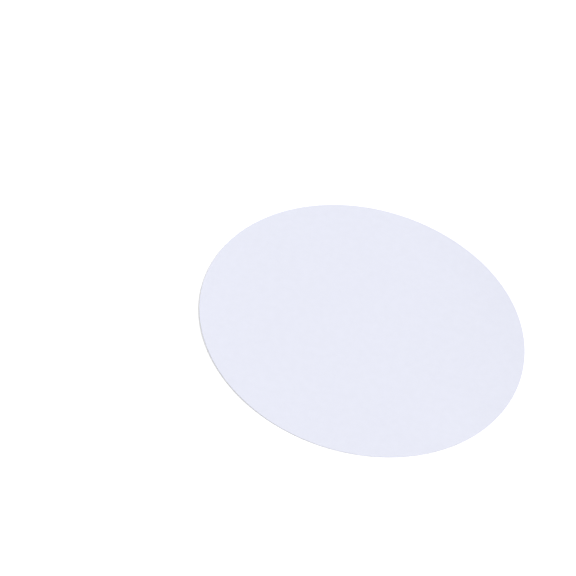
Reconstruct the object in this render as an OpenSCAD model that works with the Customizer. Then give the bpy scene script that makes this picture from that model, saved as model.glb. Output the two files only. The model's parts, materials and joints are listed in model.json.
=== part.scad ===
// Filter paper disc: one round of smooth, unfolded laboratory filter paper, lying flat.
//
// The disc is punched out of the sheet in one stroke, so it is one solid of even thickness.
// The punch enters from above: it rolls the rim of the upper face over very slightly, shears
// the wall square, and leaves the rim of the underside sharp. The flat underside seats on
// the plate of a funnel, and the cut wall stands inside the funnel's bore.
//
// Millimetres, +Z up. The origin is the centre of the underside.

/* [Disc] */
// Diameter of the disc, cut edge to cut edge
disc_d = 150; // [40:5:500]
// Thickness of the paper
paper_t = 0.18; // [0.12:0.01:1]

/* [Cut edge] */
// Radius that the punch rolls onto the rim of the upper face
rim_roll = 0.04; // [0.01:0.01:0.1]

/* [Hidden] */

// Cool bluish white of undyed cellulose
paper_white = [0.914, 0.922, 0.973];

// Facets round the disc, and round the full circle that the rolled rim is an arc of
disc_fn = 240;
roll_fn = 32;

rim_r = disc_d / 2;

// Half of the disc's cross-section, from the axis at x = 0 out to the cut wall.
module half_section() {
    // Web of the paper, in to where the rim starts to roll
    square([rim_r - rim_roll, paper_t]);
    // Sheared wall, up to where the rim starts to roll
    square([rim_r, paper_t - rim_roll]);
    // Rolled corner, tangent to the upper face and to the wall
    translate([rim_r - rim_roll, paper_t - rim_roll])
        circle(r = rim_roll, $fn = roll_fn);
}

module paper_disc() {
    color(paper_white)
        rotate_extrude($fn = disc_fn)
            half_section();
}

paper_disc();
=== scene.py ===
"""Filter paper disc: one round of smooth white laboratory filter paper, lying on a pale floor.

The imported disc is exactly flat. Real paper never is: its grain curls it a little, damp air cockles
its rim, and its fibres settle in clumps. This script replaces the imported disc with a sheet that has
all three, with a felt of fibres for its surface and a punched rim. Everything is in metres, in the
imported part's frame: the origin is the centre of the underside, and +Z is up.
"""

import json
import math

import bpy
from mathutils import Matrix, Vector, noise


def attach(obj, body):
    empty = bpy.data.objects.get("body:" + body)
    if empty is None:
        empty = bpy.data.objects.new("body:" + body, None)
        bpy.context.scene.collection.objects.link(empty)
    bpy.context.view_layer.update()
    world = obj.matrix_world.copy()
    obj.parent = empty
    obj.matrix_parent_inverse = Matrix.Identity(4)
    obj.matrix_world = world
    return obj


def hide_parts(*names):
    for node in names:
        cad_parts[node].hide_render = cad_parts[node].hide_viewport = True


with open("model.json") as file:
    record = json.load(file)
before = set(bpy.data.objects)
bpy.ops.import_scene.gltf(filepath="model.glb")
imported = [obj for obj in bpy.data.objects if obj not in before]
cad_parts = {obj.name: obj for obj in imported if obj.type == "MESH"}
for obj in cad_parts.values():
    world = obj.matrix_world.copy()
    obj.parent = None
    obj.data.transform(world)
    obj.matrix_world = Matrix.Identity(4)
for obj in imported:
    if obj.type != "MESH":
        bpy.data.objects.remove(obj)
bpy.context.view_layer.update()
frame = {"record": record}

MM = 0.001

# The sheet as it was cut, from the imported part's mounts: its radius, its thickness, and the roll on
# its upper corner, which is the part of the thickness above the straight wall
mounts = {mount["name"]: mount for mount in frame["record"]["mounts"]}
RIM_R = mounts["rim"]["dims"]["r_mm"] * MM
PAPER_T = mounts["upper_face"]["pos_m"][2]
RIM_ROLL = PAPER_T - mounts["rim"]["dims"]["length_mm"] * MM

# The punch shears the wall a little raggedly: how deep and how long its waves are
RAGGED_DEPTH = 0.02 * MM
RAGGED_LENGTH = 2.5 * MM
RAGGED_SEED = 23.1

# Curl: the direction of the grain, how far in the curl reaches and how high it lifts each side
GRAIN_DEG = 108
CURL_LENGTH = 62 * MM
CURL_RISE_RIGHT = 0.90 * MM
CURL_RISE_LEFT = 0.30 * MM

# Cockle: slow waves from damp air, which are weaker at the centre than at the rim
COCKLE_RISE = 0.14 * MM
COCKLE_LENGTH = 30 * MM
COCKLE_AT_CENTRE = 0.25
COCKLE_SEED = 3.7

# Formation: fibres settle in clumps, so the sheet is a little thicker here and there
CLUMP_RISE = 0.008 * MM
CLUMP_LENGTH = 3.6 * MM
CLUMP_DETAIL = 3.0
LARGE_CLUMP_SEED = 11.3
SMALL_CLUMP_SEED = -11.3

# The mesh is made of rings. On the faces they are one step apart, the last lies one step inside the
# wall, and each one has this many more points than the ring inside it.
RING_STEP = 0.75 * MM
RING_COUNT = round(RIM_R / RING_STEP) - 1
RING_GROWTH = 6

# Rings at the rim: how many steps round the roll there are, and how far inside the wall, in radii
# of the roll, the rings lie that keep the shading of the upper face even right up to it
ROLL_STEPS = 4
EVEN_SHADING_INSETS = (5, 2)
SHARP_CORNER_DEG = 40

# Faces whose normals point down this far or further belong to the underside
UNDERSIDE_NORMAL_Z = -0.5

# Surface of the cellulose: its colour, linear, how far clumps vary it, and how much painted highlight
# on the fibres' crests and painted shade in the pits between them vary it
PAPER_COLOUR = (0.815, 0.831, 0.939)
CLUMP_CONTRAST = 0.020
# Painted highlight and painted shade of the fibre mat, as a share of the paper's colour
FIBRE_PAINTED_SHADE = 0.040
ROUGHNESS = 0.90
ROUGHNESS_SPREAD = 0.04
CELLULOSE_IOR = 1.47

# The mat of fibres: the directions that its strands run in, their size and how they wander. The
# relief is how high the crests of the mat are, and the mean is a share of that height.
STRAND_DIRECTIONS_DEG = (7, 38, 66, 101, 129, 163)
STRAND_WIDTH = 0.30 * MM
STRAND_LENGTH = 2.6 * MM
STRAND_SHARPNESS = 3.0
STRAND_DETAIL = 1.0
WANDER = 0.7 * MM
WANDER_LENGTH = 1.8 * MM
MAT_RELIEF = 0.024 * MM
MAT_MEAN = 0.89

# The underside was formed on a woven wire, which left its mark
WIRE_PITCH = 0.9 * MM
WIRE_RELIEF = 0.010 * MM

# Light: an even share from all round, and the rest from one broad soft lamp
AMBIENT = 0.50
KEY_SHARE = 0.495
KEY_ELEVATION_DEG = 42
KEY_AZIMUTH_DEG = 60
KEY_ANGLE_DEG = 35

# Background: the floor's own colour, and what lifts it to white where the camera sees it. The sky
# is a little past white there, so that the noise filter's faint errors clip away.
FLOOR_SIDE = 8.0
FLOOR_COLOUR = (0.88, 0.88, 0.88, 1.0)
FLOOR_LIFT = 0.35
SKY_WHITE = 1.15

# Camera: the point on the floor that it aims at, and its line of sight
CAMERA_LENS_MM = 100
CAMERA_AIM = Vector((-36.97 * MM, 9.79 * MM, 0.0))
CAMERA_DISTANCE = 732.8 * MM
CAMERA_ELEVATION_DEG = 46.69
CAMERA_ROLL_DEG = 13.90


def smooth_noise(x, y, length, seed):
    """Noise between -1 and 1 that varies over the given length."""
    return noise.noise(Vector((x / length, y / length, seed)))


def curl(x, y):
    """Height that the curl lifts the sheet to. Its bend grows from nothing, so no crease shows."""
    across = x * math.sin(math.radians(GRAIN_DEG)) - y * math.cos(math.radians(GRAIN_DEG))
    rise = CURL_RISE_RIGHT if across > 0 else CURL_RISE_LEFT
    share = max(0.0, abs(across) - (RIM_R - CURL_LENGTH)) / CURL_LENGTH
    # The bend is nought where the share is 0 and has stopped growing where it is 1, at the rim
    return rise * (4 * share**3 - share**4) / 3


def cockle(x, y):
    """Height of the slow waves, which grow towards the rim."""
    weight = COCKLE_AT_CENTRE + (1 - COCKLE_AT_CENTRE) * (x * x + y * y) / RIM_R**2
    return COCKLE_RISE * weight * smooth_noise(x, y, COCKLE_LENGTH, COCKLE_SEED)


def clumps(x, y):
    """How much thicker than usual the sheet is: large clumps, with ones of half the size in them."""
    large = smooth_noise(x, y, CLUMP_LENGTH, LARGE_CLUMP_SEED)
    small = smooth_noise(x, y, CLUMP_LENGTH / 2, SMALL_CLUMP_SEED)
    return CLUMP_RISE * (large + small / 2)


def rim_profile():
    """(inset from the wall, height above the underside) of each ring of the rim, top to bottom."""
    profile = [(radii * RIM_ROLL, PAPER_T) for radii in EVEN_SHADING_INSETS]
    for step in range(ROLL_STEPS + 1):
        angle = math.radians(90) * step / ROLL_STEPS
        inset = RIM_ROLL * (1 - math.sin(angle))
        drop = RIM_ROLL * (1 - math.cos(angle))
        profile.append((inset, PAPER_T - drop))
    profile += [(0.0, PAPER_T / 2), (0.0, 0.0)]
    return profile


def ring(count, radius, height, ragged=0.0, lumpy=0.0):
    """Points of one ring, which the curl, the cockle and its share of the clumps lift.

    Its radius wanders in and out by up to the ragged depth.
    """
    points = []
    for i in range(count):
        angle = 2 * math.pi * i / count
        x, y = radius * math.cos(angle), radius * math.sin(angle)
        shift = 1 + ragged * smooth_noise(x, y, RAGGED_LENGTH, RAGGED_SEED) / RIM_R
        rise = curl(x, y) + cockle(x, y) + lumpy * clumps(x, y)
        points.append(Vector((x * shift, y * shift, height + rise)))
    return points


def stitch(a, b):
    """Faces between ring a and the next ring b, which is as long, or one growth longer or shorter."""
    if len(a) == len(b):
        return [(a[i - 1], b[i - 1], b[i], a[i]) for i in range(len(a))]
    if len(a) > len(b):
        return [face[::-1] for face in stitch(b, a)]
    faces = []
    side_count = len(b) // RING_GROWTH
    for side in range(RING_GROWTH):
        for i in range(side_count):
            outer = side * side_count + i
            inner = side * (side_count - 1) + i
            next_outer = b[(outer + 1) % len(b)]
            faces.append((b[outer], next_outer, a[inner % len(a)]))
            if i < side_count - 1:
                faces.append((a[inner], next_outer, a[(inner + 1) % len(a)]))
    return faces


def build_sheet():
    """The closed sheet: rings over the upper face, down the rim and back underneath."""
    on_faces = [(max(1, RING_GROWTH * k), k * RING_STEP) for k in range(RING_COUNT + 1)]
    rim_count = RING_GROWTH * RING_COUNT
    rings = [ring(count, radius, PAPER_T, lumpy=1.0) for count, radius in on_faces]
    for inset, height in rim_profile():
        rings.append(ring(rim_count, RIM_R - inset, height, ragged=RAGGED_DEPTH))
    rings += [ring(count, radius, 0.0) for count, radius in reversed(on_faces)]

    points, faces, last = [], [], []
    for ring_points in rings:
        numbers = range(len(points), len(points) + len(ring_points))
        points += ring_points
        faces += stitch(last, numbers)
        last = numbers

    # The sheet rests on its lowest point
    lowest = min(point.z for point in points)
    for point in points:
        point.z -= lowest
    mesh = bpy.data.meshes.new("filter_paper")
    mesh.from_pydata(points, [], faces)
    mesh.shade_smooth()
    mesh.set_sharp_from_angle(angle=math.radians(SHARP_CORNER_DEG))
    sheet = bpy.data.objects.new("filter_paper", mesh)
    bpy.context.scene.collection.objects.link(sheet)
    return sheet


class Nodes:
    """Short calls for building one node tree."""

    def __init__(self, owner):
        owner.use_nodes = True
        self.tree = owner.node_tree
        self.tree.nodes.clear()

    def add(self, kind, inputs=None, **settings):
        """A node with these settings, its inputs linked or set."""
        node = self.tree.nodes.new(kind)
        for name, value in settings.items():
            setattr(node, name, value)
        for name, value in (inputs or {}).items():
            if isinstance(value, bpy.types.NodeSocket):
                self.tree.links.new(value, node.inputs[name])
            else:
                node.inputs[name].default_value = value
        return node

    def math(self, operation, first, second=0.0, third=0.0):
        """The result of a sum on these numbers and sockets."""
        values = {0: first, 1: second, 2: third}
        return self.add("ShaderNodeMath", values, operation=operation).outputs[0]

    def noise(self, cells, detail=0.0):
        """Noise between -1 and 1, with one swell a cell and this many finer layers on it."""
        values = {"Vector": cells, "Scale": 1.0, "Detail": detail}
        from_0_to_1 = self.add("ShaderNodeTexNoise", values).outputs["Fac"]
        return self.math("MULTIPLY_ADD", from_0_to_1, 2.0, -1.0)

    def drift(self, place, distance, length):
        """The place, moved by up to this distance in X and Y by swells of this length."""
        values = {"Vector": self.cells(place, length), "Scale": 1.0, "Detail": 0.0}
        swells = self.add("ShaderNodeTexNoise", values).outputs["Color"]
        moved = {0: swells, 1: (distance, distance, 0.0), 2: place}
        return self.add("ShaderNodeVectorMath", moved, operation="MULTIPLY_ADD").outputs[0]

    def cells(self, place, length, width=None, turn_deg=0.0):
        """The place counted in cells of this length and width, turned about Z."""
        across = length if width is None else width
        values = {
            "Vector": place,
            "Rotation": (0.0, 0.0, math.radians(turn_deg)),
            "Scale": (length, across, across),
        }
        return self.add("ShaderNodeMapping", values, vector_type="TEXTURE").outputs[0]


def fibre_mat(nodes, place):
    """Height of a mat of strands that wander and cross, 1 on their crests."""
    wandering = nodes.drift(place, WANDER, WANDER_LENGTH)
    mat = 0.0
    for direction in STRAND_DIRECTIONS_DEG:
        cells = nodes.cells(wandering, STRAND_LENGTH, STRAND_WIDTH, direction)
        from_crest = nodes.math("ABSOLUTE", nodes.noise(cells, STRAND_DETAIL))
        strand = nodes.math("MULTIPLY_ADD", from_crest, -STRAND_SHARPNESS, 1.0)
        mat = nodes.math("MAXIMUM", strand, mat)
    return mat


def wire_mark(nodes, place):
    """Dimples between -1 and 1 in the plain weave of the wire, which runs along the grain."""
    cells = nodes.cells(place, WIRE_PITCH / (2 * math.pi), turn_deg=GRAIN_DEG)
    axes = nodes.add("ShaderNodeSeparateXYZ", {0: cells}).outputs
    return nodes.math("MULTIPLY", nodes.math("SINE", axes["X"]), nodes.math("SINE", axes["Y"]))


def paper_material(name, wire_side):
    """Matt cellulose: clumps in its colour and roughness, a mat of fibres in its relief, and in its
    colour painted highlight on the mat's crests and painted shade in its pits.
    """
    material = bpy.data.materials.new(name)
    nodes = Nodes(material)
    place = nodes.add("ShaderNodeTexCoord").outputs["Object"]
    clump = nodes.noise(nodes.cells(place, CLUMP_LENGTH), CLUMP_DETAIL)
    mat = fibre_mat(nodes, place)

    # Clumps are a touch lighter than the paper's colour. The mat's crests get a painted highlight, a
    # touch lighter, and the pits between them painted shade, a touch darker
    by_clump = nodes.math("MULTIPLY_ADD", clump, CLUMP_CONTRAST, 1.0)
    by_painted_fibre_shade = nodes.math("MULTIPLY_ADD", mat, FIBRE_PAINTED_SHADE, 1 - FIBRE_PAINTED_SHADE * MAT_MEAN)
    tint = {0: PAPER_COLOUR, "Scale": nodes.math("MULTIPLY", by_clump, by_painted_fibre_shade)}
    colour = nodes.add("ShaderNodeVectorMath", tint, operation="SCALE").outputs[0]

    # Clumps are smoother too, because they were pressed harder
    roughness = nodes.math("MULTIPLY_ADD", clump, -ROUGHNESS_SPREAD, ROUGHNESS)

    height = nodes.math("MULTIPLY", mat, MAT_RELIEF)
    if wire_side:
        height = nodes.math("MULTIPLY_ADD", wire_mark(nodes, place), WIRE_RELIEF, height)
    bump = nodes.add("ShaderNodeBump", {"Height": height, "Distance": 1.0}).outputs[0]

    surface = {
        "Base Color": colour,
        "Roughness": roughness,
        "IOR": CELLULOSE_IOR,
        "Normal": bump,
    }
    shader = nodes.add("ShaderNodeBsdfPrincipled", surface)
    nodes.add("ShaderNodeOutputMaterial", {"Surface": shader.outputs[0]})
    return material


def add_paper(sheet):
    """Felt side all over the sheet, apart from the underside, which is the wire side."""
    sheet.data.materials.append(paper_material("filter_paper_felt_side", wire_side=False))
    sheet.data.materials.append(paper_material("filter_paper_wire_side", wire_side=True))
    for face in sheet.data.polygons:
        face.material_index = 1 if face.normal.z < UNDERSIDE_NORMAL_Z else 0


def for_camera(nodes, direct, indirect):
    """Strength for what the camera sees straight, and for what it sees in gloss or glass, else 0."""
    path = nodes.add("ShaderNodeLightPath").outputs
    in_gloss_or_glass = nodes.math("MAXIMUM", path["Is Glossy Ray"], path["Is Transmission Ray"])
    seen_straight = nodes.math("MULTIPLY", path["Is Camera Ray"], direct)
    seen_indirectly = nodes.math("MULTIPLY", in_gloss_or_glass, indirect)
    return nodes.math("MAXIMUM", seen_straight, seen_indirectly)


def add_floor():
    """Pale floor that the camera sees as white, except in shadow."""
    material = bpy.data.materials.new("studio_floor")
    nodes = Nodes(material)
    matt = nodes.add("ShaderNodeBsdfDiffuse", {"Color": FLOOR_COLOUR})
    lift = for_camera(nodes, direct=FLOOR_LIFT, indirect=FLOOR_LIFT)
    glow = nodes.add("ShaderNodeEmission", {"Strength": lift})
    both = nodes.add("ShaderNodeAddShader", {0: matt.outputs[0], 1: glow.outputs[0]})
    nodes.add("ShaderNodeOutputMaterial", {"Surface": both.outputs[0]})

    half = FLOOR_SIDE / 2
    corners = [(-half, -half, 0), (half, -half, 0), (half, half, 0), (-half, half, 0)]
    mesh = bpy.data.meshes.new("floor")
    mesh.from_pydata(corners, [], [(0, 1, 2, 3)])
    mesh.materials.append(material)
    floor = bpy.data.objects.new("floor", mesh)
    bpy.context.scene.collection.objects.link(floor)


def add_light():
    """Even light from all round, and a broad soft lamp from the right and behind."""
    world = bpy.data.worlds.new("studio")
    nodes = Nodes(world)
    white = for_camera(nodes, direct=SKY_WHITE, indirect=1.0)
    strength = nodes.math("MAXIMUM", white, AMBIENT)
    sky = nodes.add("ShaderNodeBackground", {"Color": (1, 1, 1, 1), "Strength": strength})
    nodes.add("ShaderNodeOutputWorld", {"Surface": sky.outputs[0]})
    bpy.context.scene.world = world

    elevation, azimuth = math.radians(KEY_ELEVATION_DEG), math.radians(KEY_AZIMUTH_DEG)
    across = Vector((math.sin(azimuth), math.cos(azimuth), 0)) * math.cos(elevation)
    towards_key = across + Vector((0, 0, math.sin(elevation)))
    lamp = bpy.data.lights.new("key", "SUN")
    # A sun of strength pi, straight overhead, lights a white sheet to exactly 1
    lamp.energy = KEY_SHARE * math.pi / math.sin(elevation)
    lamp.angle = math.radians(KEY_ANGLE_DEG)
    key = bpy.data.objects.new("key", lamp)
    key.rotation_euler = towards_key.to_track_quat("Z", "Y").to_euler()
    bpy.context.scene.collection.objects.link(key)


def add_camera():
    """Long-lens camera that sees the disc's outline as the photograph does."""
    elevation = math.radians(CAMERA_ELEVATION_DEG)
    back = Vector((0, -math.cos(elevation), math.sin(elevation)))
    place = Matrix.Translation(CAMERA_AIM + CAMERA_DISTANCE * back)
    facing = back.to_track_quat("Z", "Y").to_matrix().to_4x4()
    roll = Matrix.Rotation(math.radians(CAMERA_ROLL_DEG), 4, "Z")
    lens = bpy.data.cameras.new("camera")
    lens.lens = CAMERA_LENS_MM
    camera = bpy.data.objects.new("camera", lens)
    camera.matrix_world = place @ facing @ roll
    bpy.context.scene.collection.objects.link(camera)
    bpy.context.scene.camera = camera


sheet = build_sheet()
add_paper(sheet)
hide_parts("paper_disc")
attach(sheet, "root")

add_floor()
add_light()
add_camera()

bpy.context.scene.view_settings.view_transform = "Standard"
